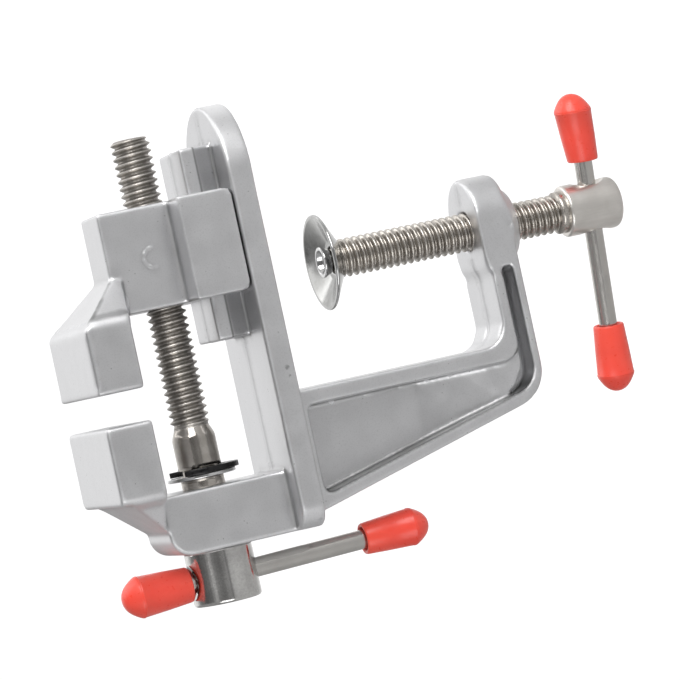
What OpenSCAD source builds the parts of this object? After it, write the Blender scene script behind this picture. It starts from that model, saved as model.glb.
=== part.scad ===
// Mini bench vise that clamps to the edge of a table.
// Origin: on the table face under the plate, on the axis of the clamp screw.
// +Z points from the clamp arm towards the jaws, +X from the fixed jaw
// towards the rounded free end of the plate.

/* [Plate] */
// Length of the plate from the jaw end to the rounded free end
plate_l = 87.5; // [80:0.5:95]
// Width of the plate
plate_w = 29; // [26:0.5:34]
// Thickness of the plate
plate_t = 5; // [4:0.25:7]
// Distance from the clamp screw's axis to the plate's free end
plate_reach = 35.75; // [33:0.25:40]
// Plan radius of the two corners at the jaw end
plate_corner_r = 5; // [1:0.5:8]

/* [Guide rail] */
// Distance from the free end of the plate to the rail
rail_setback = 8; // [5:0.5:12]
// Length of the rail
rail_l = 39; // [34:0.5:44]
// Width of the rail across its lips
rail_w = 16; // [14:0.5:18]
// Width of the undercut neck where the rail stands on the plate
rail_neck_w = 11.4; // [9:0.2:13]
// Height of the rail above the plate
rail_h = 7.3; // [6:0.1:8.5]
// Height of the upright lip at the top of the rail
rail_lip_h = 3.1; // [2:0.1:4]
// Sliding clearance between the rail and the moving jaw
rail_gap = 0.3; // [0.2:0.05:0.5]

/* [Jaws] */
// Thickness of the fixed block along the screw
block_l = 12.5; // [10:0.5:15]
// Width of the fixed block
block_w = 18; // [16:0.5:22]
// Width of both gripping hooks
hook_w = 33; // [29:0.5:36]
// Height of both gripping hooks
hook_h = 9.6; // [8:0.2:12]
// Height of the hooks' underside above the plate
hook_rise = 26.5; // [24:0.25:30]
// Reach of the fixed hook in front of its block
fixed_hook_l = 15.7; // [12:0.1:18]
// Reach of the moving hook in front of its body
moving_hook_l = 14.6; // [12:0.1:18]
// Opening between the hooks as shown
jaw_opening = 6.4; // [2:0.1:12]
// Length of the moving jaw's body along the screw
jaw_l = 20.8; // [18:0.2:24]
// Width of the skirt that straddles the rail
skirt_w = 28.6; // [25:0.2:33]
// Height of the skirt's shoulder above the plate
skirt_h = 11.6; // [10:0.2:13]
// Running gap between the skirt and the plate
skirt_gap = 0.5; // [0.3:0.1:1]
// Width of the screw boss on the moving jaw
boss_w = 13.8; // [12:0.2:18]
// Length over which the sloped necks run down from the hooks
neck_l = 7.5; // [5:0.5:10]
// Radius of the back top edge of the moving hook
hook_back_r = 2.6; // [0.5:0.1:4]
// Plan radius of the back corners of both hooks
hook_corner_r = 1.5; // [0.5:0.1:3]
// Radius of the fixed block's outer top edge
block_top_r = 4.6; // [1:0.1:6]

/* [Jaw screw] */
// Height of the jaw screw's axis above the plate
jaw_axis_h = 14.7; // [14:0.1:17]
// Length of the jaw screw in front of the fixed block
jaw_screw_l = 71.3; // [66:0.5:76]
// Length of its thread
jaw_thread_l = 58; // [52:0.5:60]
// Outer diameter of both threads
thread_d = 8; // [7:0.1:8.5]
// Pitch of both threads
thread_pitch = 1.5; // [1:0.25:2]
// Depth of both threads
thread_depth = 0.8; // [0.5:0.05:1]
// Radial clearance of a thread in its plain bore
thread_gap = 0.05; // [0.02:0.01:0.1]
// Diameter of the smooth shank
shank_d = 8.8; // [8.6:0.1:9.6]
// Radial clearance of the shank in the fixed block
shank_gap = 0.08; // [0.02:0.01:0.1]
// Distance from the fixed block to the washer
washer_offset = 1.9; // [0.3:0.1:3]
// Outer diameter of the washer
washer_d = 14; // [12:0.5:16]
// Thickness of the washer
washer_t = 0.9; // [0.6:0.1:1.5]
// Outer diameter of the spring clip
clip_d = 15.6; // [13:0.2:17]
// Thickness of the spring clip
clip_t = 1.1; // [0.8:0.1:1.4]
// Radial depth of the clip's groove in the shank
clip_groove = 0.7; // [0.4:0.1:1]
// Half of the angle that the clip leaves open
clip_open = 50; // [40:1:60]

/* [Jaw handle] */
// Diameter of the hub on the jaw screw
jaw_hub_d = 13.9; // [12:0.1:16]
// Length of the hub on the jaw screw
jaw_hub_l = 10.4; // [9:0.1:13]
// Running gap between the hub and the fixed block
hub_gap = 0.6; // [0.2:0.1:1]
// Diameter of the jaw screw's sliding bar
jaw_bar_d = 4; // [3.5:0.1:4.5]
// Free length of that bar between its caps
jaw_bar_free = 37.6; // [34:0.2:42]
// Lean of that bar in its loose hole, in degrees
jaw_bar_lean = 1.3; // [0:0.1:1.4]

/* [Clamp arm] */
// Distance from the arm's inner face to the clamp screw's axis
throat_l = 24.25; // [22:0.25:28]
// Distance from the table face to the arm's lower leg
throat_h = 47.2; // [44:0.2:52]
// Width of the arm
arm_w = 17.2; // [15:0.1:20]
// Depth of the arm's root where it leaves the plate
arm_root_l = 25.2; // [22:0.2:26]
// Depth of the arm at the level of its outer corner
arm_knee_l = 11.4; // [10:0.2:15]
// Thickness of the arm's lower leg
arm_leg_t = 6.5; // [5.5:0.1:8]
// Radius of the arm's inner corner
arm_inner_r = 5; // [2:0.5:8]
// Radius of the arm's outer corner
arm_outer_r = 8; // [4:0.5:10]
// Depth of the pocket in each side of the arm
pocket_depth = 6.2; // [4:0.1:6.5]
// Thickness of the rim along the arm's inner face
rim_inner = 3.5; // [2.5:0.1:5]
// Thickness of the rim along the arm's outer edge
rim_outer = 2.8; // [2:0.1:4]
// Thickness of the inner rim along the lower leg
leg_rim_inner = 2.4; // [1.8:0.1:2.8]
// Thickness of the outer rim along the lower leg
leg_rim_outer = 1.8; // [1.2:0.1:2.2]
// Distance from the table face to the pocket
pocket_drop = 2.6; // [1.5:0.1:5]

/* [Clamp screw] */
// Distance from the clamp screw's axis to the boss's free end
clamp_boss_tip = 10.8; // [8.5:0.1:12]
// Height of the boss above the lower leg's inner face
clamp_boss_top = 0.8; // [0.4:0.1:2]
// Depth of the boss below the lower leg's outer face
clamp_boss_drop = 2.3; // [1:0.1:4]
// Diameter of the lower end of the boss below its cone
clamp_boss_end_d = 13.4; // [11:0.2:16]
// Gap between the table face and the pad as shown
pad_opening = 14.2; // [5:0.2:20]
// Length of the clamp screw between the pad and the hub
clamp_screw_l = 50.2; // [48:0.1:56]
// Length of the smooth collar next to the clamp hub
clamp_collar_l = 1.5; // [1:0.1:3]
// Diameter of the clamp hub
clamp_hub_d = 10.8; // [10:0.1:13]
// Length of the clamp hub
clamp_hub_l = 12.1; // [9:0.1:13]
// Distance from the top of the clamp hub to its bar
clamp_bar_drop = 6.4; // [5:0.1:7]
// Diameter of the clamp screw's sliding bar
clamp_bar_d = 3.8; // [3.3:0.1:4.3]
// Free length of that bar between its caps
clamp_bar_free = 35; // [31:0.2:40]
// Slide of that bar from its middle, towards the fixed jaw
clamp_bar_shift = 7.8; // [0:0.1:10]
// Turn of that bar from the plate's long axis, in degrees
clamp_bar_turn = 9; // [0:1:45]

/* [Pad] */
// Diameter of the dished pad
pad_d = 19.9; // [17:0.1:24]
// Height of the dished pad
pad_h = 3.9; // [3:0.1:5]
// Width of the flat rim of the pad
pad_rim = 0.8; // [0.5:0.1:1.5]
// Thickness of the pad's floor
pad_floor_t = 1.3; // [1:0.1:1.6]
// Diameter of the hole in the pad
pad_hole_d = 5.6; // [5:0.1:6]
// Diameter of the screw's neck in the pad
neck_d = 4.6; // [4:0.1:4.8]
// Diameter of the flared head that holds the pad
rivet_d = 6.4; // [6.2:0.1:7]
// Diameter of the rivet's stem
rivet_stem_d = 3; // [2:0.1:3.4]

/* [Caps] */
// Length of each cap
cap_l = 14.3; // [12:0.1:18]
// Length of the rounded end of each cap
cap_dome_l = 3.6; // [2:0.1:5]
// Diameter of a cap at its open end
cap_mouth_d = 6.5; // [6.2:0.1:8]
// Diameter of a cap at the ridge below its rounded end
cap_ridge_d = 7.9; // [7:0.1:9]
// Extra diameter of the stretched cap at the top of the jaw bar
cap_stretch = 0.7; // [0:0.1:1]
// Depth to which a bar reaches into a cap
cap_grip_l = 11; // [8:0.1:11.5]
// Angle at which the front cap of the clamp bar is pushed on askew
cap_lean = 3.5; // [0:0.1:4]

/* [Hidden] */
$fn = 64;

// Fits and small shapes
fit_gap = 0.02;         // radial gap of parts that are fixed together
loose_gap = 0.35;       // radial gap of a bar in its hub
touch_gap = 0.1;        // gap between faces that turn on each other
stop_gap = 0.3;         // gap left between a cap and a hub at the stop
overlap = 1;            // depth to which features run into their parent
through = 1;            // length by which cuts pass their faces
hub_chamfer = 0.9;
sink_depth = 0.5;       // countersink round each bar hole
arc_steps = 8;

// Levels and stations
plate_top = plate_t;
jaw_end_x = plate_reach - plate_l;
block_front_x = jaw_end_x + block_l;
fixed_face_x = block_front_x + fixed_hook_l;
moving_face_x = fixed_face_x + jaw_opening;
jaw_front_x = moving_face_x + moving_hook_l;
jaw_back_x = jaw_front_x + jaw_l;
rail_end_x = plate_reach - rail_setback;
rail_start_x = rail_end_x - rail_l;
rail_top = plate_top + rail_h;
hook_z = plate_top + hook_rise;
hook_top = hook_z + hook_h;
skirt_z = plate_top + skirt_gap;
skirt_top = plate_top + skirt_h;
jaw_axis_z = plate_top + jaw_axis_h;
jaw_tip_x = block_front_x + jaw_screw_l;
shank_end_x = jaw_tip_x - jaw_thread_l;
shank_cone_l = 3;
washer_x = block_front_x + washer_offset;
clip_x = washer_x + washer_t + fit_gap;
jaw_hub_x = jaw_end_x - hub_gap;
jaw_bar_x = jaw_hub_x - jaw_hub_l / 2;
arm_inner_x = -throat_l;
leg_outer_z = -throat_h - arm_leg_t;
boss_top_z = -throat_h + clamp_boss_top;
boss_bottom_z = leg_outer_z - clamp_boss_drop;
pad_z = -pad_opening;
screw_face_z = pad_z - pad_h - touch_gap;
clamp_hub_z = screw_face_z - clamp_screw_l;
clamp_bar_z = clamp_hub_z - clamp_bar_drop;

// Rounded outlines: each corner is [x, y, radius]
function unit(v) = v / norm(v);
function corner(a, b, c, r) =
    let (u = unit(a - b), v = unit(c - b), half = acos(u * v) / 2)
    let (o = b + unit(u + v) * r / sin(half), reach = r / tan(half))
    let (p = b + u * reach - o, q = b + v * reach - o)
    let (from = atan2(p.y, p.x), turn = atan2(q.y, q.x) - from)
    let (sweep = turn > 180 ? turn - 360 : turn < -180 ? turn + 360 : turn)
    [for (i = [0:arc_steps]) let (t = from + sweep * i / arc_steps) o + r * [cos(t), sin(t)]];
function flat(p) = [p.x, p.y];
function rounded(pts) =
    let (n = len(pts))
    [for (i = [0:n - 1])
        let (a = flat(pts[(i + n - 1) % n]), b = flat(pts[i]), c = flat(pts[(i + 1) % n]))
        each (pts[i].z > 0 ? corner(a, b, c, pts[i].z) : [b])];

// Extrudes a side outline, drawn in X and Z, to a width across Y
module across(w) rotate([90, 0, 0]) linear_extrude(height = w, center = true) children();
// Extrudes a front outline, drawn in Y and Z, along X
module along(x, l) translate([x, 0, 0]) rotate([90, 0, 90]) linear_extrude(height = l) children();
// Turns a shape that stands on Z to lie along +X
module lie() rotate([0, 90, 0]) children();

// The undercut rail, or the channel round it with a gap
module rail_outline(gap) {
    lip = rail_w / 2 + gap;
    neck = rail_neck_w / 2 + gap;
    top = rail_top + gap;
    lip_z = rail_top - rail_lip_h - gap;
    foot = plate_top - overlap;
    polygon([[-neck, foot], [neck, foot], [neck, plate_top], [lip, lip_z], [lip, top],
             [-lip, top], [-lip, lip_z], [-neck, plate_top]]);
}

module plate() {
    r = plate_w / 2;
    square_end = jaw_end_x + plate_corner_r;
    linear_extrude(height = plate_t) {
        translate([plate_reach - r, 0]) circle(r, $fn = 96);
        translate([square_end, -r]) square([plate_reach - r - square_end, plate_w]);
        translate([jaw_end_x, plate_corner_r - r]) square([plate_corner_r + overlap, plate_w - 2 * plate_corner_r]);
        for (side = [-1, 1]) translate([square_end, side * (r - plate_corner_r)]) circle(plate_corner_r);
    }
}

// Plan of a hook, its gripping face at x = 0 and its rounded back at x = l
module hook_plan(l) {
    w = hook_w / 2;
    polygon(rounded([[0, -w, 0.6], [l, -w, hook_corner_r], [l, w, hook_corner_r], [0, w, 0.6]]));
}

// Plan of the neck that tapers from a hook's back at x = 0 into its body
module neck_plan(body_w) {
    w = hook_w / 2 - hook_corner_r / 3;
    step = neck_l * 0.16;
    polygon([[-hook_corner_r, -w], [0, -w], [step, -w * 0.86], [neck_l, -body_w / 2],
             [neck_l, body_w / 2], [step, w * 0.86], [0, w], [-hook_corner_r, w]]);
}

// Front view of a neck, with an underside that slopes down to its body
module neck_front(body_w, drop) {
    w = hook_w / 2;
    polygon([[-w, hook_z], [-body_w / 2, hook_z - drop], [body_w / 2, hook_z - drop],
             [w, hook_z], [w, hook_top], [-w, hook_top]]);
}

module fixed_jaw() {
    back_x = fixed_face_x - fixed_hook_l;
    slope = hook_h - 2.4;
    knee_x = jaw_end_x + block_top_r + 0.6;
    across(block_w)
        polygon(rounded([[jaw_end_x, plate_top - overlap, 0], [block_front_x, plate_top - overlap, 0],
                         [block_front_x, hook_z, 0], [back_x + overlap, hook_z, 0],
                         [back_x + overlap, hook_z + slope, 0], [back_x, hook_z + slope, 0],
                         [knee_x, hook_z - 0.4, 0.8], [jaw_end_x, hook_z - 0.4, block_top_r - 0.4]]));
    translate([fixed_face_x, 0, hook_z]) mirror([1, 0, 0]) linear_extrude(height = hook_h) hook_plan(fixed_hook_l);
    intersection() {
        translate([back_x, 0, plate_top]) mirror([1, 0, 0])
            linear_extrude(height = hook_rise + hook_h) neck_plan(block_w);
        along(jaw_end_x, block_l + 2 * overlap) neck_front(block_w, 0);
        across(hook_w)
            polygon([[knee_x, hook_z - slope / 2], [back_x + overlap, hook_z - slope / 2],
                     [back_x + overlap, hook_z + slope], [back_x, hook_z + slope], [knee_x, hook_z - 0.4]]);
    }
}

module arm_outline() {
    polygon(rounded([[arm_inner_x, overlap, 0],
                     [arm_inner_x, -throat_h, arm_inner_r],
                     [0, -throat_h, 0],
                     [0, leg_outer_z, 0],
                     [arm_inner_x - arm_knee_l, leg_outer_z, arm_outer_r],
                     [arm_inner_x - arm_root_l, 0, 0],
                     [arm_inner_x - arm_root_l, overlap, 0]]));
}

// Pocket between the rims, the same on both sides of the web
module pocket_outline() {
    taper = (arm_root_l - arm_knee_l) / (throat_h + arm_leg_t);
    inner_x = arm_inner_x - rim_inner;
    outer_top_x = arm_inner_x - arm_root_l + rim_outer + pocket_drop * taper;
    leg_floor_z = leg_outer_z + leg_rim_outer;
    outer_low_x = arm_inner_x - arm_knee_l + rim_outer - leg_rim_outer * taper;
    end_x = -arm_w / 2 + 1;
    polygon(rounded([[inner_x, -pocket_drop, 1.2],
                     [inner_x, -throat_h - leg_rim_inner, 4],
                     [end_x, -throat_h - leg_rim_inner, 0.8],
                     [end_x, leg_floor_z, 0.8],
                     [outer_low_x, leg_floor_z, 5.5],
                     [outer_top_x, -pocket_drop, 1.5]]));
}

module clamp_arm() {
    web_t = arm_w - 2 * pocket_depth;
    difference() {
        across(arm_w) arm_outline();
        for (side = [-1, 1])
            translate([0, side * (web_t + pocket_depth + through) / 2, 0])
                across(pocket_depth + through) pocket_outline();
    }
    translate([0, 0, leg_outer_z]) linear_extrude(height = boss_top_z - leg_outer_z) {
        translate([clamp_boss_tip - arm_w / 2, 0]) circle(arm_w / 2);
        translate([-arm_w / 2, -arm_w / 2]) square([clamp_boss_tip, arm_w]);
    }
    translate([0, 0, boss_bottom_z])
        cylinder(d1 = clamp_boss_end_d, d2 = arm_w + 0.6, h = clamp_boss_drop);
}

// The whole casting: plate, rail, fixed jaw and clamp arm in one piece
module frame_casting() color("silver") {
    difference() {
        union() {
            plate();
            along(rail_start_x, rail_l) rail_outline(0);
            fixed_jaw();
            clamp_arm();
        }
        translate([jaw_end_x - through, 0, jaw_axis_z])
            lie() cylinder(d = shank_d + 2 * shank_gap, h = block_l + 2 * through);
        translate([0, 0, boss_bottom_z - through])
            cylinder(d = thread_d + 2 * thread_gap, h = boss_top_z - boss_bottom_z + 2 * through);
    }
}

module moving_jaw() color("silver") {
    back_slope = hook_h - hook_back_r + 1;
    difference() {
        union() {
            translate([jaw_front_x, -skirt_w / 2, skirt_z]) cube([jaw_l, skirt_w, skirt_top - skirt_z]);
            translate([jaw_front_x, -boss_w / 2, skirt_z]) cube([jaw_l, boss_w, hook_z - skirt_z]);
            intersection() {
                translate([moving_face_x, 0, hook_z]) linear_extrude(height = hook_h) hook_plan(moving_hook_l);
                across(hook_w)
                    polygon(rounded([[moving_face_x, hook_z, 0], [jaw_front_x, hook_z, 0],
                                     [jaw_front_x, hook_top, hook_back_r], [moving_face_x, hook_top, 0]]));
            }
            intersection() {
                translate([jaw_front_x, 0, plate_top])
                    linear_extrude(height = hook_rise + hook_h) neck_plan(boss_w);
                along(jaw_front_x - hook_corner_r, neck_l + hook_corner_r) neck_front(boss_w, 2.3);
                across(hook_w)
                    polygon([[jaw_front_x - hook_corner_r, hook_z - back_slope],
                             [jaw_front_x + neck_l, hook_z - back_slope], [jaw_front_x + neck_l, hook_z],
                             [jaw_front_x, hook_z + back_slope], [jaw_front_x - hook_corner_r, hook_z + back_slope]]);
            }
        }
        along(jaw_front_x - through, jaw_l + 2 * through) rail_outline(rail_gap);
        translate([jaw_front_x - through, 0, jaw_axis_z])
            lie() cylinder(d = thread_d + 2 * thread_gap, h = jaw_l + 2 * through);
    }
}

// Outline of a thread from y = 0 to its length, for turning about the Y axis
module thread_outline(l) {
    r = thread_d / 2;
    root = r - thread_depth;
    turns = floor((l - thread_pitch) / thread_pitch);
    lead = (l - turns * thread_pitch) / 2;
    polygon([[0, 0], [root, 0], [root, lead - thread_pitch * 0.1],
             for (i = [0:turns - 1])
                 each [[root, lead + i * thread_pitch], [r, lead + (i + 0.4) * thread_pitch],
                       [r, lead + (i + 0.6) * thread_pitch], [root, lead + (i + 1) * thread_pitch]],
             [root, l], [0, l]]);
}

// Round stub that a hub is fixed on, with the bar's hole across it
module hub_stub(d, l, bar_h, bar_d, turn) {
    difference() {
        cylinder(d = d, h = l);
        translate([0, 0, bar_h]) rotate([0, 0, turn]) rotate([90, 0, 0])
            cylinder(d = bar_d + 2 * loose_gap, h = 2 * d, center = true);
    }
}

// Hub that stands on Z with its mouth at z = 0 and its bar hole across it
module hub(d, l, stub_d, stub_l, collar_d, collar_l, bar_h, bar_d, turn) {
    hole_r = bar_d / 2 + loose_gap;
    sink_r = hole_r + sink_depth + 0.3;
    difference() {
        rotate_extrude()
            polygon([[0, 0], [d / 2 - hub_chamfer, 0], [d / 2, hub_chamfer], [d / 2, l - hub_chamfer],
                     [d / 2 - hub_chamfer, l], [0, l]]);
        translate([0, 0, -through]) cylinder(d = stub_d + 2 * fit_gap, h = stub_l + through + fit_gap);
        translate([0, 0, -through]) cylinder(d = collar_d + 2 * fit_gap, h = collar_l + through);
        translate([0, 0, bar_h]) rotate([0, 0, turn]) rotate([90, 0, 0]) {
            cylinder(r = hole_r, h = 2 * d, center = true);
            for (side = [0, 1]) mirror([0, 0, side])
                translate([0, 0, d / 2 - sink_depth - 0.2]) cylinder(r1 = hole_r, r2 = sink_r + 0.4, h = sink_depth + 0.4);
        }
    }
}

jaw_stub_d = shank_d * 0.74;
jaw_stub_l = jaw_hub_l - 1.5;
jaw_collar_in = 1;
clamp_stub_d = thread_d * 0.75;
clamp_stub_l = clamp_hub_l - 1.5;
clamp_collar_in = 1;

module jaw_screw() color("darkgray") {
    translate([jaw_end_x, 0, jaw_axis_z]) {
        difference() {
            union() {
                translate([-hub_gap - jaw_collar_in, 0, 0]) lie()
                    cylinder(d = shank_d, h = shank_end_x - shank_cone_l - jaw_end_x + hub_gap + jaw_collar_in);
                translate([shank_end_x - shank_cone_l - jaw_end_x, 0, 0]) lie()
                    cylinder(d1 = shank_d, d2 = thread_d - thread_depth, h = shank_cone_l);
                translate([shank_end_x - jaw_end_x, 0, 0]) lie() rotate_extrude() thread_outline(jaw_thread_l);
            }
            translate([clip_x - jaw_end_x - fit_gap, 0, 0]) lie() difference() {
                cylinder(d = shank_d + through, h = clip_t + 2 * fit_gap);
                cylinder(d = shank_d - 2 * clip_groove, h = clip_t + 2 * fit_gap);
            }
        }
        translate([-hub_gap, 0, 0]) rotate([0, -90, 0])
            hub_stub(jaw_stub_d, jaw_stub_l, jaw_hub_l / 2, jaw_bar_d, 90);
    }
}

module jaw_screw_washer() color("gainsboro") {
    translate([washer_x, 0, jaw_axis_z]) lie() difference() {
        cylinder(d = washer_d, h = washer_t);
        translate([0, 0, -through]) cylinder(d = shank_d + 2 * touch_gap, h = washer_t + 2 * through);
    }
}

// Spring clip with an open side, three inward lugs and a broad back
module jaw_screw_clip() color("black") {
    outer = clip_d / 2;
    inner = shank_d / 2 - clip_groove + fit_gap;
    relief = shank_d / 2 + 0.9;
    translate([clip_x, 0, jaw_axis_z]) lie() linear_extrude(height = clip_t) difference() {
        circle(outer);
        circle(inner);
        polygon([[0, 0], for (t = [-clip_open, 0, clip_open]) 2 * outer * [-cos(t), sin(t)]]);
        for (side = [-1, 1]) intersection() {
            circle(relief);
            polygon([[0, 0], for (t = [72, 100, 128, 156]) 2 * outer * [-cos(t), side * sin(t)]]);
        }
    }
}

module jaw_screw_hub() color("silver") {
    translate([jaw_hub_x, 0, jaw_axis_z]) rotate([0, -90, 0])
        hub(jaw_hub_d, jaw_hub_l, jaw_stub_d, jaw_stub_l, shank_d, jaw_collar_in, jaw_hub_l / 2, jaw_bar_d, 90);
}

// Moves a bar that stands on Z, with its free length centred on z = 0, into the jaw hub
jaw_bar_shift = (jaw_bar_free - jaw_hub_d) / 2 - stop_gap;
module at_jaw_bar()
    translate([jaw_bar_x, 0, jaw_axis_z]) rotate([0, -jaw_bar_lean, 0]) translate([0, 0, -jaw_bar_shift]) children();
module at_clamp_bar()
    translate([0, 0, clamp_bar_z]) rotate([0, 0, -clamp_bar_turn]) lie() translate([0, 0, -clamp_bar_shift]) children();

module bar(d, free) {
    r = d / 2;
    l = free / 2 + cap_grip_l;
    rotate_extrude() polygon([[0, -l], [r - 0.4, -l], [r, 0.4 - l], [r, l - 0.4], [r - 0.4, l], [0, l]]);
}

// Soft cap that stands on Z with its open end at z = 0
module cap(bar_d, stretch, lean) {
    mouth = (cap_mouth_d + stretch) / 2;
    ridge = (cap_ridge_d + stretch) / 2;
    bore = bar_d / 2 + fit_gap;
    ridge_z = cap_l - cap_dome_l;
    lip_depth = 2.2;
    difference() {
        rotate([0, -lean, 0]) rotate_extrude()
            polygon([[0, 0], [mouth, 0],
                     for (i = [0:arc_steps - 1])
                         let (t = i * 90 / arc_steps) [ridge * cos(t), ridge_z + cap_dome_l * sin(t)],
                     [0, cap_l]]);
        translate([0, 0, -through]) cylinder(r = bore, h = cap_grip_l + through);
        translate([0, 0, -0.4]) cylinder(r1 = bore + 0.9, r2 = bore, h = lip_depth);
    }
}

module jaw_bar() color("darkgray") at_jaw_bar() bar(jaw_bar_d, jaw_bar_free);
module jaw_bar_upper_cap() color("tomato")
    at_jaw_bar() translate([0, 0, jaw_bar_free / 2]) cap(jaw_bar_d, cap_stretch, 0);
module jaw_bar_lower_cap() color("tomato")
    at_jaw_bar() mirror([0, 0, 1]) translate([0, 0, jaw_bar_free / 2]) cap(jaw_bar_d, 0, 0);

module clamp_screw() color("darkgray") {
    thread_l = clamp_screw_l - clamp_collar_l;
    stem_depth = 5;
    difference() {
        union() {
            translate([0, 0, screw_face_z - thread_l]) rotate_extrude() thread_outline(thread_l);
            translate([0, 0, clamp_hub_z - clamp_collar_in])
                cylinder(d = shank_d, h = clamp_collar_l + clamp_collar_in);
            translate([0, 0, screw_face_z - overlap]) cylinder(d = neck_d, h = pad_floor_t + touch_gap * 2 + overlap);
            translate([0, 0, clamp_hub_z]) mirror([0, 0, 1])
                hub_stub(clamp_stub_d, clamp_stub_l, clamp_bar_drop, clamp_bar_d, 90 - clamp_bar_turn);
        }
        translate([0, 0, screw_face_z - stem_depth])
            cylinder(d = rivet_stem_d + 2 * fit_gap, h = stem_depth + pad_floor_t + through);
    }
}

module clamp_screw_hub() color("silver") {
    translate([0, 0, clamp_hub_z]) mirror([0, 0, 1])
        hub(clamp_hub_d, clamp_hub_l, clamp_stub_d, clamp_stub_l, shank_d, clamp_collar_in,
            clamp_bar_drop, clamp_bar_d, 90 - clamp_bar_turn);
}

module clamp_bar() color("darkgray") at_clamp_bar() bar(clamp_bar_d, clamp_bar_free);
module clamp_bar_front_cap() color("tomato")
    at_clamp_bar() translate([0, 0, clamp_bar_free / 2]) cap(clamp_bar_d, 0, cap_lean);
module clamp_bar_rear_cap() color("tomato")
    at_clamp_bar() mirror([0, 0, 1]) translate([0, 0, clamp_bar_free / 2]) cap(clamp_bar_d, 0, 0);

// Dished pad, open towards the table face
module clamp_pad() color("lightgray") {
    rim = pad_d / 2;
    back = thread_d / 2 + 0.2;
    edge = 0.5;
    translate([0, 0, pad_z]) rotate_extrude($fn = 96)
        polygon([[pad_hole_d / 2, -pad_h], [back, -pad_h], [rim, -edge], [rim, 0], [rim - pad_rim, 0],
                 [back - 0.4, pad_floor_t - pad_h], [pad_hole_d / 2, pad_floor_t - pad_h]]);
}

// Hollow flared rivet in the end of the clamp screw
module pad_rivet() color("white") {
    neck_top = screw_face_z + pad_floor_t + 2 * touch_gap;
    head_top = pad_z - 0.1;
    stem_l = neck_top - screw_face_z + 4.5;
    wall = 0.7;
    translate([0, 0, neck_top]) rotate_extrude()
        polygon([[0, -stem_l], [rivet_stem_d / 2, -stem_l], [rivet_stem_d / 2, fit_gap], [neck_d / 2, fit_gap],
                 [rivet_d / 2, head_top - neck_top - 0.3], [rivet_d / 2, head_top - neck_top],
                 [rivet_d / 2 - wall, head_top - neck_top], [neck_d / 2 - wall, fit_gap + wall], [0, fit_gap + wall]]);
}

frame_casting();
moving_jaw();
jaw_screw();
jaw_screw_washer();
jaw_screw_clip();
jaw_screw_hub();
jaw_bar();
jaw_bar_upper_cap();
jaw_bar_lower_cap();
clamp_screw();
clamp_screw_hub();
clamp_bar();
clamp_bar_front_cap();
clamp_bar_rear_cap();
clamp_pad();
pad_rivet();
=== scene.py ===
import bpy
import bmesh
import math
import numpy as np
from mathutils import Matrix, Vector


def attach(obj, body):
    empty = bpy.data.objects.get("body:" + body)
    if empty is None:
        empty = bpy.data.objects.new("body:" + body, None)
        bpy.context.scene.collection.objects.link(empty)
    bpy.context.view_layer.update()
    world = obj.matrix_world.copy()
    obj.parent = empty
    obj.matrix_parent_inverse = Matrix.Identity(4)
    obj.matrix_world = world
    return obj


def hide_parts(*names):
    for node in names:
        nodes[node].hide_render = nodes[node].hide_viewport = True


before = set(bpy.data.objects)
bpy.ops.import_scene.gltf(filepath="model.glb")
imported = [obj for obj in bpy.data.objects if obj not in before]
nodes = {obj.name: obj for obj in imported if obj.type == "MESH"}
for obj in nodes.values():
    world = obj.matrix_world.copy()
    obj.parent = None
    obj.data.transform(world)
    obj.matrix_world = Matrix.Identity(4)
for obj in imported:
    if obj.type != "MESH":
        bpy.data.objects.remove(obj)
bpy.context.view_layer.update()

mm = 0.001
scene = bpy.context.scene

# Places shared by several pieces, in millimetres, from the solids
jawAxis = 19.7
jawEnd = -51.75
blockFront = -39.25


def report(stage):
    print("stage:", stage, flush=True)


# Node tools

def groupTree(name, inputs, outputs):
    tree = bpy.data.node_groups.new(name, "ShaderNodeTree")
    for label, kind, value in inputs:
        socket = tree.interface.new_socket(label, in_out="INPUT", socket_type="NodeSocket" + kind)
        socket.default_value = value
    for label, kind in outputs:
        tree.interface.new_socket(label, in_out="OUTPUT", socket_type="NodeSocket" + kind)
    return tree


def put(tree, kind, values=None, **settings):
    node = tree.nodes.new("ShaderNode" + kind)
    for key, value in settings.items():
        setattr(node, key, value)
    for key, value in (values or {}).items():
        if isinstance(value, bpy.types.NodeSocket):
            tree.links.new(value, node.inputs[key])
        else:
            node.inputs[key].default_value = value
    return node


def maths(tree, operation, a, b=0.0, clamp=False):
    return put(tree, "Math", {0: a, 1: b}, operation=operation, use_clamp=clamp).outputs[0]


def product(tree, first, *others):
    for other in others:
        first = maths(tree, "MULTIPLY", first, other)
    return first


def grey(tone):
    return (tone, tone, tone, 1)


def blendColours(tree, share, a, b):
    node = put(tree, "Mix", {0: share, 6: a, 7: b}, data_type="RGBA")
    return node.outputs[2]


def spread(tree, value, low, high, toLow=0.0, toHigh=1.0):
    return put(tree, "MapRange", {0: value, 1: low, 2: high, 3: toLow, 4: toHigh}).outputs[0]


# Shared effects

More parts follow.
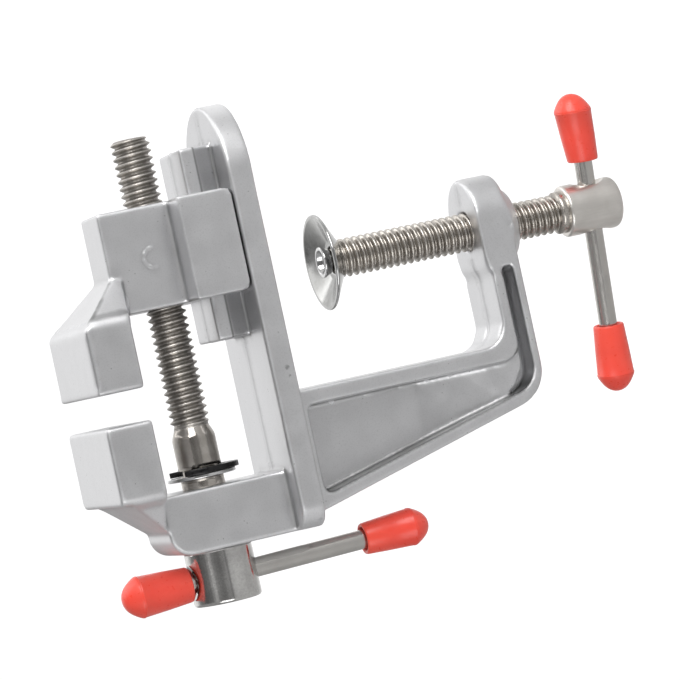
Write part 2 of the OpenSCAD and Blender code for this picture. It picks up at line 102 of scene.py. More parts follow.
def makeGrain():
    # fine and coarse unevenness of a surface; scales in features per metre
    tree = groupTree(
        "surfaceGrain",
        [("Fine", "Float", 2500.0), ("Coarse", "Float", 400.0), ("Pits", "Float", 700.0)],
        [("FineMask", "Float"), ("CoarseMask", "Float"), ("PitMask", "Float")],
    )
    given = tree.nodes.new("NodeGroupInput").outputs
    place = put(tree, "TexCoord").outputs["Object"]
    fine = put(tree, "TexNoise", {"Vector": place, "Scale": given["Fine"], "Detail": 3.0, "Roughness": 0.6})
    coarse = put(tree, "TexNoise", {"Vector": place, "Scale": given["Coarse"], "Detail": 2.0})
    pits = put(tree, "TexVoronoi", {"Vector": place, "Scale": given["Pits"], "Randomness": 1.0})
    pitMask = spread(tree, pits.outputs["Distance"], 0.05, 0.16, 1.0, 0.0)
    patch = spread(tree, coarse.outputs["Fac"], 0.56, 0.62)
    pitMask = product(tree, pitMask, patch)
    out = tree.nodes.new("NodeGroupOutput")
    tree.links.new(fine.outputs["Fac"], out.inputs["FineMask"])
    tree.links.new(coarse.outputs["Fac"], out.inputs["CoarseMask"])
    tree.links.new(pitMask, out.inputs["PitMask"])
    return tree


def makeDrawnLines():
    # long scratches along one axis, as on drawn rod or a turned face
    tree = groupTree("drawnLines", [("Stretch", "Vector", (1.0, 1.0, 1.0)), ("Scale", "Float", 900.0)],
                     [("Lines", "Float"), ("Height", "Float")])
    given = tree.nodes.new("NodeGroupInput").outputs
    place = put(tree, "TexCoord").outputs["Object"]
    stretched = put(tree, "VectorMath", {0: place, 1: given["Stretch"]}, operation="MULTIPLY").outputs[0]
    values = {"Vector": stretched, "Scale": given["Scale"], "Detail": 4.0, "Roughness": 0.65}
    noise = put(tree, "TexNoise", values)
    lines = spread(tree, noise.outputs["Fac"], 0.35, 0.65)
    out = tree.nodes.new("NodeGroupOutput")
    tree.links.new(lines, out.inputs["Lines"])
    tree.links.new(noise.outputs["Fac"], out.inputs["Height"])
    return tree


def makeEdgeMasks():
    # painted shade in hollows, and a mask of convex edges that the steels paint as a highlight, partly
    # rubbed wear, both read from how sharply the surface turns
    tree = groupTree("edgeHighlightAndHollowShade", [("Low", "Float", 0.45), ("High", "Float", 0.56)],
                     [("EdgeWearAndHighlight", "Float"), ("Hollow", "Float")])
    given = tree.nodes.new("NodeGroupInput").outputs
    turn = put(tree, "NewGeometry").outputs["Pointiness"]
    edgeWearAndHighlight = spread(tree, turn, 0.5, given["High"])
    hollowShade = spread(tree, turn, 0.5, given["Low"])
    out = tree.nodes.new("NodeGroupOutput")
    tree.links.new(edgeWearAndHighlight, out.inputs["EdgeWearAndHighlight"])
    tree.links.new(hollowShade, out.inputs["Hollow"])
    return tree


grainTree = makeGrain()
linesTree = makeDrawnLines()
edgeMaskTree = makeEdgeMasks()


def useGroup(tree, group, values):
    node = tree.nodes.new("ShaderNodeGroup")
    node.node_tree = group
    for key, value in values.items():
        node.inputs[key].default_value = value
    return node


def newMaterial(name):
    material = bpy.data.materials.new(name)
    material.use_nodes = True
    return material, material.node_tree, material.node_tree.nodes["Principled BSDF"]


def addBump(tree, shader, strength, depth, height):
    bump = put(tree, "Bump", {"Strength": strength, "Distance": depth * mm, "Height": height})
    tree.links.new(bump.outputs[0], shader.inputs["Normal"])


# Marks of the castings, in millimetres: pores by place and radius, and painted shade lines along the grooves
# where the moving hook's neck meets the hook and its own slope, by their two ends and a radius
castPits = [
    ((-19.3, -14.5, 1.75), 0.6),
    ((-21.1, -14.5, 1.5), 0.35),
    ((28.1, -14.0, 3.95), 0.45),
    ((23.3, -6.0, 7.15), 0.6),
    ((22.0, -6.4, 5.7), 0.45),
]
shadedCreases = [
    ((-1.8, 14.8, 38.9), (-1.8, 14.8, 32.3), 1.6),
    ((-1.6, 14.4, 38.6), (4.4, 7.6, 32.2), 0.85),
]
# Zones of the castings, most of them for painted shade: positions in millimetres, how far a face looks along
# an axis, and shares
castZones = {
    "knee": {"x": (-18, -27), "z": (-30, -36), "atBoss": 0.95, "atKnee": 0.2},
    "recessShade": {"x": (-31, -33), "z": (-0.5, -2.5), "facing": (0.1, 0.45)},
    "foot": {
        "x": (27.8, 20), "start": (-11.5, -11), "top": (6.2, 5.6), "low": (4.4, 4.8), "facing": (0.3, 0.7),
        "atEnd": 0.25, "dark": 0.34,
    },
    "lip": {"z": 9.34, "y": 8, "dark": 0.7},
    "slope": {"x": (-38.3, -38.8), "facing": (-0.12, -0.35), "rough": 0.28},
}


def vectors(tree, operation, a, b):
    return put(tree, "VectorMath", {0: a, 1: b}, operation=operation).outputs


def distanceToLine(tree, point, start, end):
    run = Vector(end) - Vector(start)
    offset = vectors(tree, "SUBTRACT", point, Vector(start) * mm)[0]
    share = vectors(tree, "DOT_PRODUCT", offset, run / (run.length_squared * mm))["Value"]
    share = maths(tree, "MULTIPLY", share, 1.0, clamp=True)
    nearest = put(tree, "VectorMath", {0: run * mm, "Scale": share}, operation="SCALE").outputs[0]
    return vectors(tree, "DISTANCE", offset, nearest)["Value"]


def between(tree, value, limits, toLow=0.0, toHigh=1.0):
    # like spread, with its two limits in millimetres
    return spread(tree, value, limits[0] * mm, limits[1] * mm, toLow, toHigh)


def paintedShadeZones(tree, shade, look, edgeMasks, facing, spot):
    # painted shade in the arm's slot, darker at the boss and lighter at the knee
    zone = castZones["knee"]
    knee = product(tree, between(tree, spot["X"], zone["x"]), between(tree, spot["Z"], zone["z"]))
    knee = spread(tree, knee, 0.0, 1.0, zone["atBoss"], zone["atKnee"])
    hollowShade = product(tree, edgeMasks.outputs["Hollow"], knee)
    shade = blendColours(tree, hollowShade, shade, look["hollowShade"])
    # painted shade on the walls of the arm's recess
    zone = castZones["recessShade"]
    wall = product(
        tree,
        between(tree, spot["X"], zone["x"]),
        between(tree, spot["Z"], zone["z"]),
        spread(tree, facing["X"], *zone["facing"]),
    )
    shade = blendColours(tree, wall, shade, look["recessShade"])
    # painted shade on the plate beside the rail, where it reflects the rail's dark undercut
    zone = castZones["foot"]
    foot = product(
        tree,
        between(tree, spot["X"], zone["x"], zone["atEnd"], 1.0),
        spread(tree, facing["Z"], *zone["facing"]),
        between(tree, spot["X"], zone["start"]),
        between(tree, spot["Z"], zone["top"]),
        between(tree, spot["Z"], zone["low"], 0.0, zone["dark"]),
    )
    return blendColours(tree, foot, shade, look["recessShade"])


def paintedShadeLines(tree, shade, look, coarse, spot):
    # painted shade lines along the creases at the hook's neck, the same on both sides, and along the sharp
    # lower corner of the rail's lip
    side = maths(tree, "ABSOLUTE", spot["Y"])
    folded = put(tree, "CombineXYZ", {0: spot["X"], 1: side, 2: spot["Z"]}).outputs[0]
    for start, end, radius in shadedCreases:
        away = distanceToLine(tree, folded, start, end)
        away = maths(tree, "ADD", away, spread(tree, coarse, 0.35, 0.65, -0.3 * mm, 0.3 * mm))
        creaseShade = between(tree, away, (radius * 0.4, radius), look["creaseShadeShare"], 0.0)
        shade = blendColours(tree, creaseShade, shade, look["recessShade"])
    zone = castZones["lip"]
    offLip = maths(tree, "ABSOLUTE", maths(tree, "SUBTRACT", spot["Z"], zone["z"] * mm))
    offSide = maths(tree, "ABSOLUTE", maths(tree, "SUBTRACT", side, zone["y"] * mm))
    lip = between(tree, offLip, (0.3, 0.1), 0.0, zone["dark"])
    lip = product(tree, lip, between(tree, offSide, (0.5, 0.3)))
    return blendColours(tree, lip, shade, look["recessShade"])


def castAluminium(look):
    material, tree, shader = newMaterial("castAluminium")
    scales = {"Fine": look["fineScale"], "Coarse": look["coarseScale"], "Pits": look["pitScale"]}
    grain = useGroup(tree, grainTree, scales)
    edgeMasks = useGroup(tree, edgeMaskTree, {"Low": 0.455, "High": 0.6})
    fine, coarse, pits = (grain.outputs[name] for name in ("FineMask", "CoarseMask", "PitMask"))
    place = put(tree, "TexCoord").outputs["Object"]
    spot = put(tree, "SeparateXYZ", {0: place}).outputs
    facing = put(tree, "SeparateXYZ", {0: put(tree, "NewGeometry").outputs["Normal"]}).outputs
    for centre, radius in castPits:
        away = vectors(tree, "DISTANCE", place, Vector(centre) * mm)["Value"]
        away = maths(tree, "ADD", away, spread(tree, fine, 0.3, 0.7, -0.2 * mm, 0.2 * mm))
        pits = maths(tree, "MAXIMUM", pits, between(tree, away, (radius * 0.4, radius), 1.0, 0.0))
    shade = blendColours(tree, spread(tree, coarse, 0.35, 0.65), look["dark"], look["light"])
    streaks = useGroup(tree, linesTree, {"Stretch": (0.1, 1, 1), "Scale": look["streakScale"]})
    streak = product(tree, streaks.outputs["Lines"], look["streakShare"])
    shade = blendColours(tree, streak, shade, look["light"])
    speckle = spread(tree, fine, 0.5, 0.75, 0.0, look["speckleShare"])
    shade = blendColours(tree, speckle, shade, look["speckle"])
    shade = blendColours(tree, product(tree, pits, look["pitShare"]), shade, look["pit"])
    shade = paintedShadeZones(tree, shade, look, edgeMasks, facing, spot)
    shade = paintedShadeLines(tree, shade, look, coarse, spot)
    tree.links.new(shade, shader.inputs["Base Color"])
    rough = spread(tree, coarse, 0.3, 0.7, look["roughLow"], look["roughHigh"])
    # the fixed jaw's slope is rougher, as cast, and the tumbled edges are rougher too
    zone = castZones["slope"]
    slope = product(tree, spread(tree, facing["X"], *zone["facing"]), between(tree, spot["X"], zone["x"]))
    rough = maths(tree, "ADD", rough, product(tree, slope, zone["rough"]))
    rough = maths(tree, "ADD", rough, product(tree, edgeMasks.outputs["EdgeWearAndHighlight"], look["edgeRough"]))
    tree.links.new(rough, shader.inputs["Roughness"])
    height = maths(tree, "ADD", fine, product(tree, coarse, 0.2))
    height = maths(tree, "SUBTRACT", height, product(tree, pits, 0.8))
    addBump(tree, shader, look["bump"], look["bumpDepth"], height)
    shader.inputs["Metallic"].default_value = 1.0
    return material


def turnedSteel(name, look):
    material, tree, shader = newMaterial(name)
    lines = useGroup(tree, linesTree, {"Stretch": look["stretch"], "Scale": look["scale"]})
    grain = useGroup(tree, grainTree, {"Fine": 1800.0, "Coarse": look["patchScale"], "Pits": 900.0})
    patches = spread(tree, grain.outputs["CoarseMask"], 0.35, 0.65)
    shade = blendColours(tree, patches, look["dark"], look["light"])
    shade = blendColours(tree, product(tree, lines.outputs["Lines"], look["lineShare"]), shade, look["line"])
    edgeMasks = useGroup(tree, edgeMaskTree, {"Low": 0.42, "High": 0.58})
    # painted shade in thread roots and other hollows, and a painted highlight on crests and edges, partly
    # rubbed wear
    shade = blendColours(tree, edgeMasks.outputs["Hollow"], shade, look["root"])
    shade = blendColours(tree, product(tree, edgeMasks.outputs["EdgeWearAndHighlight"], 0.7), shade, look["crest"])
    tree.links.new(shade, shader.inputs["Base Color"])
    rough = spread(tree, lines.outputs["Lines"], 0.0, 1.0, look["roughLow"], look["roughHigh"])
    tree.links.new(rough, shader.inputs["Roughness"])
    addBump(tree, shader, look["bump"], 0.02, lines.outputs["Height"])
    shader.inputs["Metallic"].default_value = 1.0
    return material


def dippedVinyl(look):
    material, tree, shader = newMaterial("dippedVinyl")
    grain = useGroup(tree, grainTree, {"Fine": 1200.0, "Coarse": 150.0, "Pits": 400.0})
    patches = spread(tree, grain.outputs["CoarseMask"], 0.3, 0.7)
    shade = blendColours(tree, patches, look["deep"], look["bright"])
    tree.links.new(shade, shader.inputs["Base Color"])
    rough = spread(tree, grain.outputs["FineMask"], 0.3, 0.7, look["roughLow"], look["roughHigh"])
    tree.links.new(rough, shader.inputs["Roughness"])
    addBump(tree, shader, 0.15, 0.05, grain.outputs["CoarseMask"])
    shader.inputs["Subsurface Weight"].default_value = look["underShare"]
    shader.inputs["Subsurface Radius"].default_value = look["under"]
    shader.inputs["Subsurface Scale"].default_value = look["underDepth"] * mm
    shader.inputs["Sheen Weight"].default_value = 0.12
    shader.inputs["Sheen Tint"].default_value = look["tint"]
    return material


# the hollow and recess tones of the aluminium are painted shade
aluminiumLook = {
    "dark": (0.71, 0.71, 0.72, 1), "light": (0.75, 0.75, 0.76, 1),
    "speckle": grey(0.5), "recessShade": grey(0.22), "pit": grey(0.3), "hollowShade": grey(0.28),
    "streakShare": 0.4, "speckleShare": 0.3, "pitShare": 0.7, "creaseShadeShare": 0.65,
    "roughLow": 0.35, "roughHigh": 0.4, "edgeRough": 0.35, "bump": 0.3, "bumpDepth": 0.03,
    "fineScale": 3200.0, "coarseScale": 200.0, "pitScale": 900.0, "streakScale": 500.0,
}
# in each steel look, root is the painted shade of hollows and crest the painted highlight of edges, partly
# rubbed wear
screwLook = {
    "dark": (0.44, 0.41, 0.375, 1), "light": (0.59, 0.555, 0.51, 1), "line": (0.24, 0.225, 0.205, 1),
    "crest": (0.78, 0.735, 0.675, 1), "root": (0.3, 0.27, 0.24, 1),
    "lineShare": 0.5, "roughLow": 0.2, "roughHigh": 0.42, "bump": 0.35,
    "stretch": (1, 1, 1), "scale": 2600.0, "patchScale": 300.0,
}
dullScrewLook = dict(
    screwLook, dark=(0.4, 0.38, 0.355, 1), light=(0.54, 0.51, 0.475, 1), crest=(0.7, 0.67, 0.63, 1),
    lineShare=0.75, roughLow=0.26, roughHigh=0.5, bump=0.8,
)
shankLook = dict(screwLook, lineShare=0.3, roughLow=0.12, roughHigh=0.22, bump=0.06, scale=1200.0)
hubLook = {
    "dark": (0.64, 0.63, 0.615, 1), "light": (0.8, 0.79, 0.77, 1), "line": (0.42, 0.41, 0.4, 1),
    "crest": (0.85, 0.84, 0.82, 1), "root": grey(0.2),
    "lineShare": 0.45, "roughLow": 0.08, "roughHigh": 0.17, "bump": 0.06,
    "stretch": (1, 1, 1), "scale": 2200.0, "patchScale": 250.0,
}
satinHubLook = dict(
    hubLook, dark=(0.74, 0.71, 0.67, 1), light=(0.84, 0.81, 0.77, 1), line=(0.62, 0.59, 0.55, 1),
    lineShare=0.3, roughLow=0.3, roughHigh=0.4, stretch=(1, 1, 0.1), scale=1600.0,
)
rodLook = {
    "dark": (0.6, 0.565, 0.525, 1), "light": (0.72, 0.685, 0.64, 1), "line": (0.42, 0.4, 0.38, 1),
    "crest": (0.6, 0.59, 0.57, 1), "root": grey(0.3),
    "lineShare": 0.25, "roughLow": 0.18, "roughHigh": 0.26, "bump": 0.03,
    "stretch": (1, 1, 0.06), "scale": 2200.0, "patchScale": 300.0,
}
crossRodLook = dict(rodLook, stretch=(0.06, 1, 1))
brightLook = {
    "dark": (0.62, 0.62, 0.615, 1), "light": (0.72, 0.72, 0.715, 1), "line": grey(0.5),
    "crest": grey(0.9), "root": grey(0.15),
    "lineShare": 0.2, "roughLow": 0.08, "roughHigh": 0.16, "bump": 0.05,
    "stretch": (1, 1, 1), "scale": 1200.0, "patchScale": 300.0,
}
padLook = dict(
    brightLook, dark=(0.36, 0.36, 0.35, 1), light=(0.46, 0.46, 0.45, 1), roughLow=0.12, roughHigh=0.2,
)
blackLook = {
    "dark": (0.012, 0.012, 0.013, 1), "light": (0.03, 0.03, 0.032, 1), "line": grey(0.06),
    "crest": grey(0.07), "root": grey(0.01),
    "lineShare": 0.3, "roughLow": 0.25, "roughHigh": 0.4, "bump": 0.1,
    "stretch": (1, 1, 1), "scale": 1500.0, "patchScale": 500.0,
}
vinylLook = {
    "deep": (0.94, 0.08, 0.052, 1), "bright": (0.99, 0.102, 0.066, 1), "tint": (1.0, 0.62, 0.56, 1),
    "roughLow": 0.26, "roughHigh": 0.36, "under": (1.0, 0.25, 0.15), "underShare": 0.15, "underDepth": 0.8,
}

aluminium = castAluminium(aluminiumLook)
screwSteel = turnedSteel("screwSteel", screwLook)
dullScrewSteel = turnedSteel("dullScrewSteel", dullScrewLook)
shankSteel = turnedSteel("shankSteel", shankLook)
hubSteel = turnedSteel("hubSteel", hubLook)
satinHubSteel = turnedSteel("satinHubSteel", satinHubLook)
rodSteel = turnedSteel("rodSteel", rodLook)
crossRodSteel = turnedSteel("crossRodSteel", crossRodLook)
padSteel = turnedSteel("padSteel", padLook)
washerSteel = turnedSteel("washerSteel", brightLook)
blackSpring = turnedSteel("blackSpring", blackLook)
vinyl = dippedVinyl(vinylLook)
report("materials made")


# Mesh tools

def linked(name, data):
    thing = bpy.data.objects.new(name, data)
    scene.collection.objects.link(thing)
    return thing


def finished(carrier):
    # the carrier's mesh with its modifiers applied; the carrier is removed
    graph = bpy.context.evaluated_depsgraph_get()
    mesh = bpy.data.meshes.new_from_object(carrier.evaluated_get(graph))
    bpy.data.objects.remove(carrier)
    return mesh


def addPiece(name, mesh, material, body, replaced):
    piece = linked(name, mesh)
    mesh.materials.clear()
    mesh.materials.append(material)
    mesh.shade_smooth()
    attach(piece, body)
    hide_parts(replaced)
    return piece


def meshFrom(name, points, faces, place=None):
    mesh = bpy.data.meshes.new(name)
    points = np.asarray(points, float) * mm
    mesh.from_pydata(points.tolist(), [], [list(f) for f in faces])
    if place is not None:
        mesh.transform(place)
    mesh.update()
    return mesh


def along(axis, start=(0, 0, 0), spin=0.0):
    # a matrix that takes a piece made on +Z from the origin to start, turned by spin and pointing along axis
    turn = Vector((0, 0, 1)).rotation_difference(Vector(axis)).to_matrix().to_4x4()
    return Matrix.Translation(Vector(start) * mm) @ turn @ Matrix.Rotation(spin, 4, "Z")


def turned(name, heights, segments, radiusAt, place):
    # a solid on an axis whose radius may change with height and angle, closed at both ends
    heights = np.asarray(heights, float)
    angles = np.arange(segments) * 2 * math.pi / segments
    z, t = np.meshgrid(heights, angles, indexing="ij")
    r = radiusAt(z, t)
    points = np.stack([r * np.cos(t), r * np.sin(t), z], 2).reshape(-1, 3)
    rows = len(heights)
    i, j = np.meshgrid(np.arange(rows - 1), np.arange(segments), indexing="ij")
    a = i * segments + j
    b = i * segments + (j + 1) % segments
    faces = np.stack([a, b, b + segments, a + segments], 2).reshape(-1, 4).tolist()
    low, high = len(points), len(points) + 1
    points = np.vstack([points, [[0, 0, heights[0]], [0, 0, heights[-1]]]])
    last = (rows - 1) * segments
    for j in range(segments):
        k = (j + 1) % segments
        faces.append([low, k, j])
        faces.append([high, last + j, last + k])
    return meshFrom(name, points, faces, place)


def revolved(name, outline, segments, place):
    # turns an outline of [radius, height] about +Z; a radius of 0 at either end closes the piece there
    outline = [(float(r), float(z)) for r, z in outline]
    loop = outline[0][0] > 0
    points, rings = [], []
    for r, z in outline:
        if r == 0:
            rings.append([len(points)])
            points.append((0, 0, z))
        else:
            rings.append(list(range(len(points), len(points) + segments)))
            for j in range(segments):
                t = j * 2 * math.pi / segments
                points.append((r * math.cos(t), r * math.sin(t), z))
    faces = []
    pairs = list(zip(rings, rings[1:])) + ([(rings[-1], rings[0])] if loop else [])
    for low, high in pairs:
        for j in range(segments):
            k = (j + 1) % segments
            if len(low) == 1:
                faces.append([low[0], high[k], high[j]])
            elif len(high) == 1:
                faces.append([low[j], low[k], high[0]])
            else:
                faces.append([low[j], low[k], high[k], high[j]])
    return meshFrom(name, points, faces, place)


def rounded(corners, steps):
    # a smooth outline through points of [radius, height, rounding]
    result = []
    count = len(corners)
    for i, (x, y, r) in enumerate(corners):
        before, after = corners[i - 1], corners[(i + 1) % count]
        here = Vector((x, y))
        if r == 0 or i in (0, count - 1):
            result.append((x, y))
            continue
        u = (Vector(before[:2]) - here).normalized()
        v = (Vector(after[:2]) - here).normalized()
        half = u.angle(v) / 2
        centre = here + (u + v).normalized() * r / math.sin(half)
        reach = r / math.tan(half)
        p, q = here + u * reach - centre, here + v * reach - centre
        start = math.atan2(p.y, p.x)
        sweep = (math.atan2(q.y, q.x) - start + math.pi) % (2 * math.pi) - math.pi
        for k in range(steps + 1):
            t = start + sweep * k / steps
            result.append((centre.x + r * math.cos(t), centre.y + r * math.sin(t)))
    return result


def evenSkin(name, source, voxelSize):
    # the solid's surface as a skin of even squares
    base = linked(name, source)
    remesh = base.modifiers.new("skin", "REMESH")
    remesh.mode = "VOXEL"
    remesh.voxel_size = voxelSize * mm
    return finished(base)


def weldedCopy(node):
    mesh = nodes[node].data.copy()
    work = bmesh.new()
    work.from_mesh(mesh)
    bmesh.ops.remove_doubles(work, verts=work.verts, dist=0.002 * mm)
    work.to_mesh(mesh)
    work.free()
    return mesh


def readPoints(mesh):
    points = np.empty(len(mesh.vertices) * 3)
    mesh.vertices.foreach_get("co", points)
    return points.reshape(-1, 3) / mm


def readNormals(mesh):
    normals = np.empty(len(mesh.vertices) * 3)
    mesh.vertex_normals.foreach_get("vector", normals)
    return normals.reshape(-1, 3)


def writePoints(mesh, points):
    mesh.vertices.foreach_set("co", (points * mm).ravel())
    mesh.update()


def soften(mesh, passes, strengthAt=None):
    # moves each point towards its neighbours, which rounds edges and fills inner corners
    points = readPoints(mesh)
    edges = np.empty(len(mesh.edges) * 2, np.int64)
    mesh.edges.foreach_get("vertices", edges)
    a, b = edges.reshape(-1, 2).T
    size = len(points)
    count = np.bincount(a, minlength=size) + np.bincount(b, minlength=size)
    strength = 0.5 if strengthAt is None else strengthAt(points)[:, None] * 0.5
    for _ in range(passes):
        total = np.empty_like(points)
        for k in range(3):
            total[:, k] = np.bincount(a, points[b, k], size) + np.bincount(b, points[a, k], size)
        points = points + (total / count[:, None] - points) * strength
    writePoints(mesh, points)


def keepBore(points, axisPoint, axisIndex, radius, low, high):
    # pushes the wall of a round hole back to its true radius
    others = [k for k in range(3) if k != axisIndex]
    offset = points[:, others] - np.array([axisPoint[k] for k in others])
    distance = np.linalg.norm(offset, axis=1)
    inside = (points[:, axisIndex] > low) & (points[:, axisIndex] < high)
    inside &= (distance < radius) & (distance > radius * 0.5)
    offset[inside] *= (radius / distance[inside])[:, None]
    points[:, others] = offset + np.array([axisPoint[k] for k in others])


def thinned(name, mesh, share):
    # fewer faces where the surface is flat
    carrier = linked(name, mesh)
    carrier.modifiers.new("thin", "DECIMATE").ratio = share
    return finished(carrier)


# Castings

frameForm = {
    "voxel": 0.34,                   # size of the skin's squares
    "passes": 9,                     # how far edges are rounded
    "freeEnd": (16, 22, 0.55),       # where the plate's rounding gets weaker along X, and by how much
    "bossPasses": 30,                # how far the boss of the clamp screw runs out into the arm
    "bossStep": (-8.3, -50, -44.5),  # x, lowest z and highest z of that run-out
    "jawBore": 4.47,
    "bossBore": 4.04,
    "seamHeight": 0.13,              # raised line that the mould's halves leave
    "seamWidth": 0.45,
    "keep": 0.35,                    # share of faces kept
}
# Where the frame shows no seam
seamless = {
    "tableFace": (-2, 0.4), "hookFrom": 30.5, "blockTo": -38.6, "blockFrom": 5.2, "endFrom": 35.4,
    "boreRadius": 5.5, "boreTop": -40,
}


def frameSkip(points, normals):
    # the table face, the hook, the block of the fixed jaw, the plate's free end and the bore of the boss
    x, y, z = points.T
    form = seamless
    low, high = form["tableFace"]
    under = (z > low) & (z < high) & (normals[:, 2] < -0.5)
    hook = z > form["hookFrom"]
    block = (x < form["blockTo"]) & (z > form["blockFrom"])
    end = x > form["endFrom"]
    bore = (np.hypot(x, y) < form["boreRadius"]) & (z < form["boreTop"])
    return under | hook | block | end | bore


def raiseSeam(mesh):
    # the mould's parting line, along the middle of the casting
    points, normals = readPoints(mesh), readNormals(mesh)
    across = np.clip(1 - (points[:, 1] / frameForm["seamWidth"]) ** 2, 0, 1)
    across[np.abs(normals[:, 1]) > 0.4] = 0
    across[frameSkip(points, normals)] = 0
    writePoints(mesh, points + normals * (across * frameForm["seamHeight"])[:, None])


# Panel that stands up from the arm's web towards the knee: x, z and height above the web
webPanel = [
    (-46.6, -2.0, 0.0), (-40.35, -27.2, 1.1), (-38.1, -36.7, 2.7), (-35.7, -44.3, 4.4), (-32.9, -47.6, 4.9),
    (-29.7, -49.6, 5.2), (-26.2, -49.9, 5.3), (-18.0, -49.4, 5.3), (-18.0, -48.0, 5.3), (-24.0, -45.0, 5.3),
    (-27.0, -41.5, 4.6), (-28.0, -36.0, 3.2), (-28.4, -27.2, 1.3), (-28.2, -2.0, 0.0),
]
webFace = 2.35   # distance of the web's face from the middle
webCore = 1.0    # where the wedges start, inside the web


def addWebPanel(mesh):
    # a closed wedge on each side, which the skin then takes in
    work = bmesh.new()
    work.from_mesh(mesh)
    for side in (-1, 1):
        low = [work.verts.new(Vector((x, side * webCore, z)) * mm) for x, z, h in webPanel]
        high = [work.verts.new(Vector((x, side * (webFace + h), z)) * mm) for x, z, h in webPanel]
        count = len(webPanel)
        faces = []
        for k in range(count):
            n = (k + 1) % count
            faces.append(work.faces.new([low[k], low[n], high[n], high[k]]))
        # strips from the outer edge to the inner one
        for k in range(1, count // 2):
            strip = (k - 1, k, count - 1 - k, count - k)
            faces += [work.faces.new([row[n] for n in strip]) for row in (low, high)]
        bmesh.ops.recalc_face_normals(work, faces=faces)
    bmesh.ops.triangulate(work, faces=work.faces[:])
    work.to_mesh(mesh)
    work.free()
    return mesh


def stepOfBoss(points):
    middle, low, high = frameForm["bossStep"]
    near = np.clip(1.4 - np.abs(points[:, 0] - middle) / 2.0, 0, 1)
    return near * (points[:, 2] > low) * (points[:, 2] < high)


def allButFreeEnd(points):
    # the plate's free end keeps a sharper edge
    first, last, less = frameForm["freeEnd"]
    return 1 - less * np.clip((points[:, 0] - first) / (last - first), 0, 1)


def buildFrameCasting():
    form = frameForm
    mesh = evenSkin("frameCastingSkin", addWebPanel(weldedCopy("frame_casting")), form["voxel"])
    soften(mesh, form["passes"], allButFreeEnd)
    soften(mesh, form["bossPasses"], stepOfBoss)
    raiseSeam(mesh)
    points = readPoints(mesh)
    keepBore(points, (0, 0, jawAxis), 0, form["jawBore"], jawEnd + 0.9, blockFront - 0.9)
    keepBore(points, (0, 0, 0), 2, form["bossBore"], -55.2, -47.6)
    writePoints(mesh, points)
    mesh = thinned("frameThin", mesh, form["keep"])
    addPiece("frameCasting", mesh, aluminium, "frame", "frame_casting")


jawForm = {
    "voxel": 0.28,
    "passes": 13,
    "cornerPasses": 40,          # how far the skirt's corners and the hook's top edges are rounded
    "skirt": (-2.55, 18.25),     # ends of the skirt along X
    "skirtFoot": 5.5,
    "skirtTop": 6.3,             # below it edges are rounded less
    "skirtShare": 0.35,
    "skirtSide": 8.8,            # its corners start at this distance from the middle
    "skirtDrop": (6.5, 0.2),     # below this height the skirt comes closer to the plate, by this much
    "edge": (-16.6, -4.2),       # ends of the hook's softened edges along X
    "hookSide": 16.5,
    "hookTop": 41.24,
    "bore": 4.04,
    "keep": 0.35,
}
castMark = {"x": 7.7, "z": 21.7, "radius": 2.0, "width": 0.28, "height": 0.18, "side": (-7.1, -6.6)}


def raiseCastMark(points):
    # the crescent that an ejector pin left on the near side of the jaw
    mark = castMark
    y = points[:, 1]
    dx, dz = points[:, 0] - mark["x"], points[:, 2] - mark["z"]
    ring = np.exp(-((np.hypot(dx, dz) - mark["radius"]) / mark["width"]) ** 2)
    ring *= np.clip((dz + 0.5) / 0.8, 0, 1) * (y > mark["side"][0]) * (y < mark["side"][1])
    ring *= 0.7 + 0.3 * np.sin(8 * np.arctan2(dz, dx))
    points[:, 1] -= ring * mark["height"]


def cornerOfSkirt(points):
    # the skirt's lower corners at both ends
    x, y, z = points.T
    first, last = jawForm["skirt"]
    nearest = np.minimum(np.abs(x - first), np.abs(x - last))
    share = np.clip(1.6 - np.hypot(nearest, z - jawForm["skirtFoot"]), 0, 1)
    return share * (np.abs(y) > jawForm["skirtSide"])


def edgeOfHook(points):
    # the top edges of the moving hook on both sides, between its corners
    x, y, z = points.T
    first, last = jawForm["edge"]
    inside = np.clip((last - x) / 2.0, 0, 1) * np.clip((x - first) / 1.5, 0, 1)
    away = np.hypot(np.abs(y) - jawForm["hookSide"], z - jawForm["hookTop"])
    return inside * np.clip(2.0 - away, 0, 1)


def buildMovingJaw():
    form = jawForm
    mesh = evenSkin("movingJawSkin", weldedCopy("moving_jaw"), form["voxel"])
    soften(mesh, form["passes"], lambda p: np.where(p[:, 2] < form["skirtTop"], form["skirtShare"], 1.0))
    soften(mesh, form["cornerPasses"], lambda p: np.maximum(cornerOfSkirt(p), edgeOfHook(p)))
    points = readPoints(mesh)
    height, drop = form["skirtDrop"]
    points[:, 2] -= drop * np.clip(height - points[:, 2], 0, 1)
    raiseCastMark(points)
    keepBore(points, (0, 0, jawAxis), 0, form["bore"], -1.4, 17.2)
    writePoints(mesh, points)
    mesh = thinned("jawThin", mesh, form["keep"])
    addPiece("movingJaw", mesh, aluminium, "moving_jaw", "moving_jaw")


buildFrameCasting()
buildMovingJaw()
report("castings made")


# Screws

thread = {
    "radius": 4.0, "depth": 0.78, "pitch": 1.5,
    "crest": 0.13, "flank": 0.62, "softFlank": 0.14,   # shares of half a pitch
    "steps": 14, "around": 60,                         # points along one pitch and around
}
hair = 0.01   # half the width of a sharp step


def threadRadius(z, t, phase, roundness):
    # rounded V form that climbs one pitch for each turn
    turn = (z / thread["pitch"] - t / (2 * math.pi) + phase) % 1.0
    ramp = np.abs(turn - 0.5) * 2                    # 1 in the root, 0 on the crest
    form = np.clip((ramp - thread["crest"]) / (thread["flank"] + thread["softFlank"] * roundness), 0, 1)
    form = form * (1 - roundness) + (form * form * (3 - 2 * form)) * roundness
    return thread["radius"] - thread["depth"] * form


